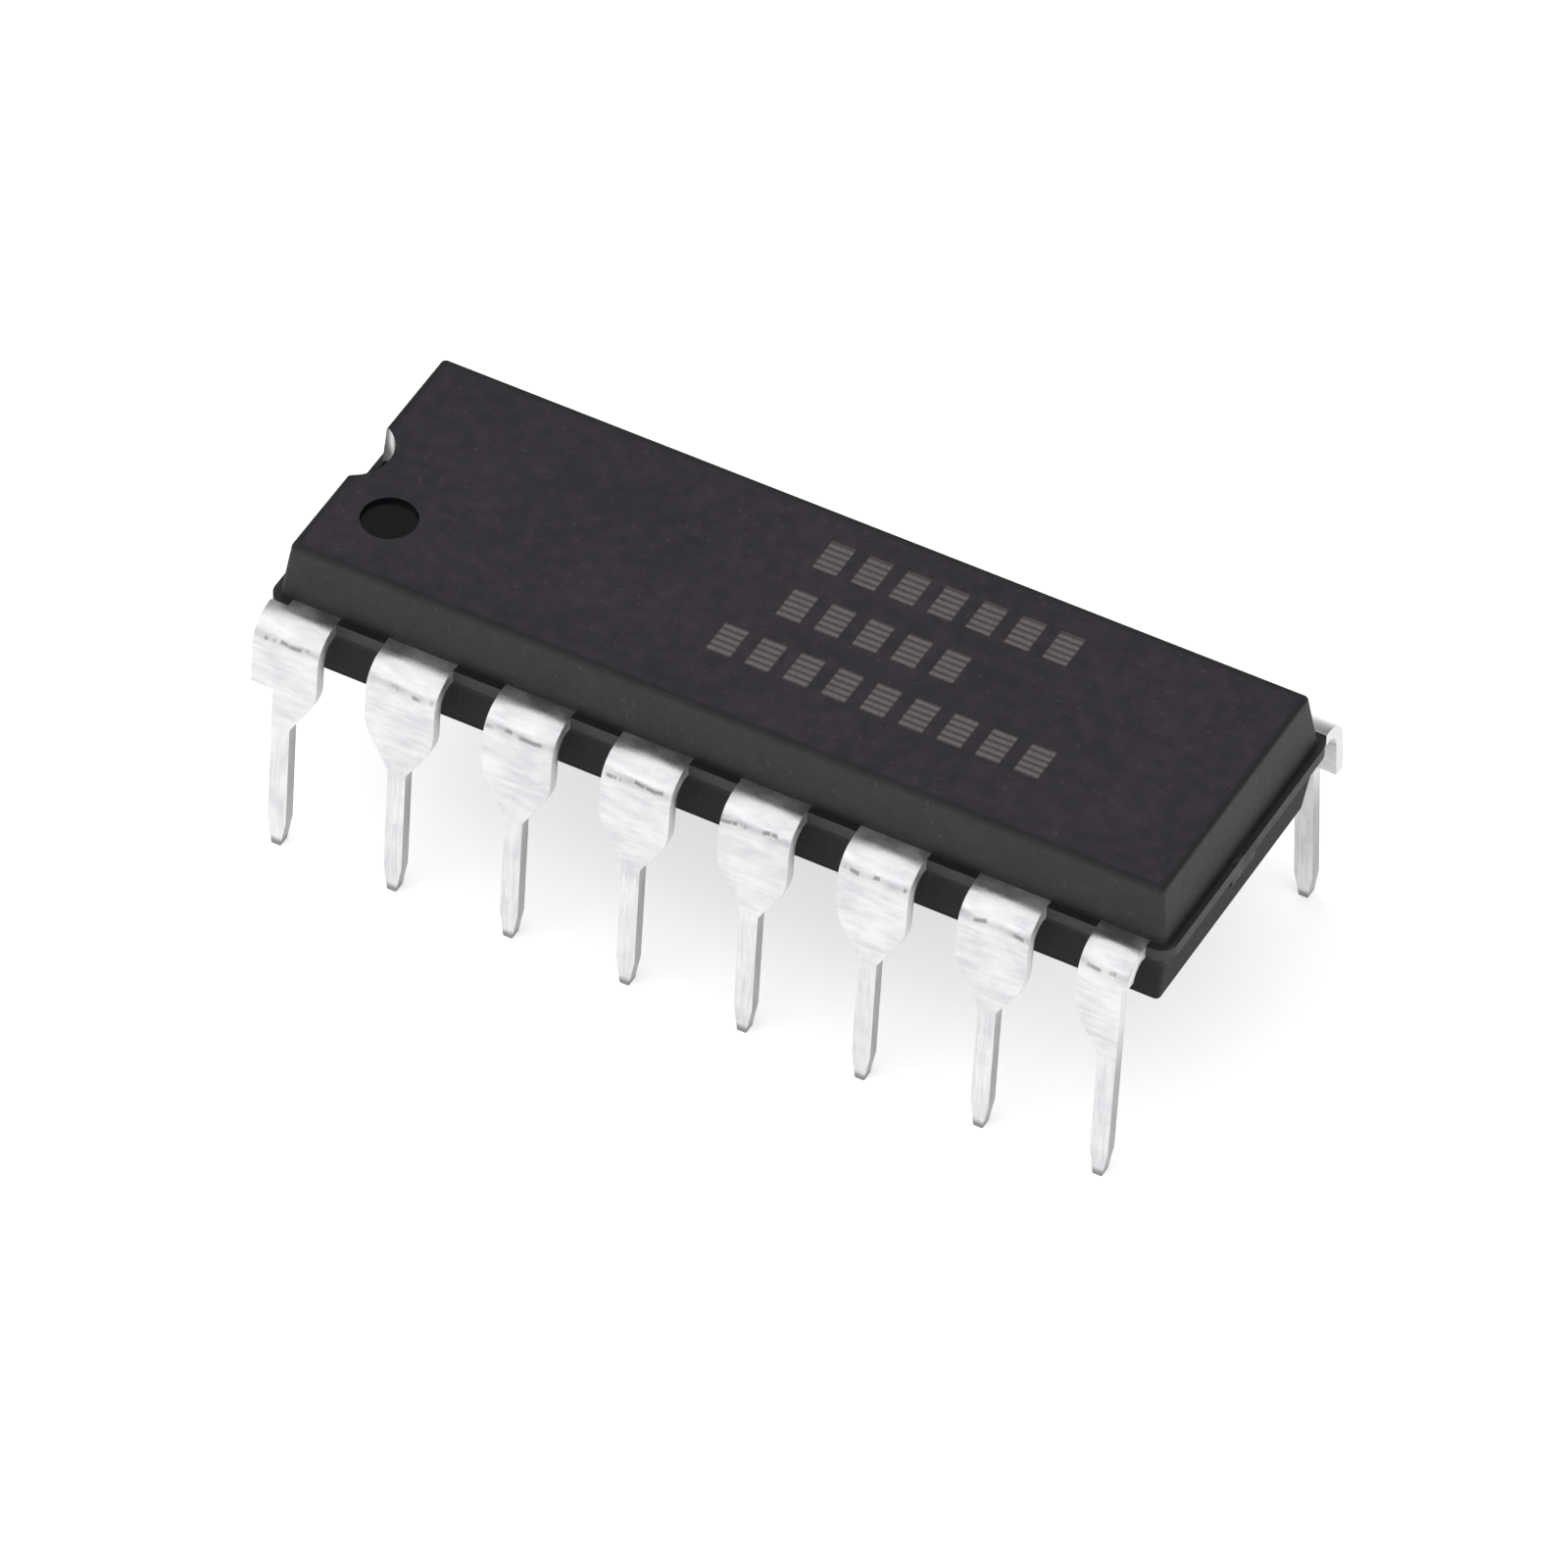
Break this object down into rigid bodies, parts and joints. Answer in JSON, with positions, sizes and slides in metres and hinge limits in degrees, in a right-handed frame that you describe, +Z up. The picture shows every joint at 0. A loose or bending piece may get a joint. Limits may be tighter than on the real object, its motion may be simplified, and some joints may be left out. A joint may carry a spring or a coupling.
{
  "type": "dip integrated circuit chip",
  "caption": "Plastic dual in-line integrated circuit package: drafted black body with end notch and dimple, two rows of bent tin-plated leads, and leadframe, die and bond wires inside.",
  "frame": {"origin": "middle of the footprint, on the plane of the sixteen lead tips that it stands on", "axes": "+Z up through the marked top face; +X along the body away from the notched end; leads 1 to 8 on the -Y side counted along +X, leads 9 to 16 on the +Y side counted back along -X"},
  "size_m": [0.0194, 0.0088, 0.0066],
  "materials": {
    "moulding": "matte moulded epoxy, fine spark-eroded grain",
    "tinned_lead": "satin tin plating over copper alloy",
    "leadframe_core": "bare copper alloy",
    "adhesive": "silver-filled epoxy",
    "silicon": "polished silicon",
    "gold_wire": "drawn gold wire"
  },
  "bodies": {
    "root": {"body": "moulding", "die_pad": "leadframe_core", "die_attach": "adhesive", "die": "silicon", "lead_01": "tinned_lead", "lead_02": "tinned_lead", "lead_03": "tinned_lead", "lead_04": "tinned_lead", "lead_05": "tinned_lead", "lead_06": "tinned_lead", "lead_07": "tinned_lead", "lead_08": "tinned_lead", "lead_09": "tinned_lead", "lead_10": "tinned_lead", "lead_11": "tinned_lead", "lead_12": "tinned_lead", "lead_13": "tinned_lead", "lead_14": "tinned_lead", "lead_15": "tinned_lead", "lead_16": "tinned_lead", "bond_wire_01": "gold_wire", "bond_wire_02": "gold_wire", "bond_wire_03": "gold_wire", "bond_wire_04": "gold_wire", "bond_wire_05": "gold_wire", "bond_wire_06": "gold_wire", "bond_wire_07": "gold_wire", "bond_wire_08": "gold_wire", "bond_wire_09": "gold_wire", "bond_wire_10": "gold_wire", "bond_wire_11": "gold_wire", "bond_wire_12": "gold_wire", "bond_wire_13": "gold_wire", "bond_wire_14": "gold_wire", "bond_wire_15": "gold_wire", "bond_wire_16": "gold_wire"}
  },
  "joints": []
}
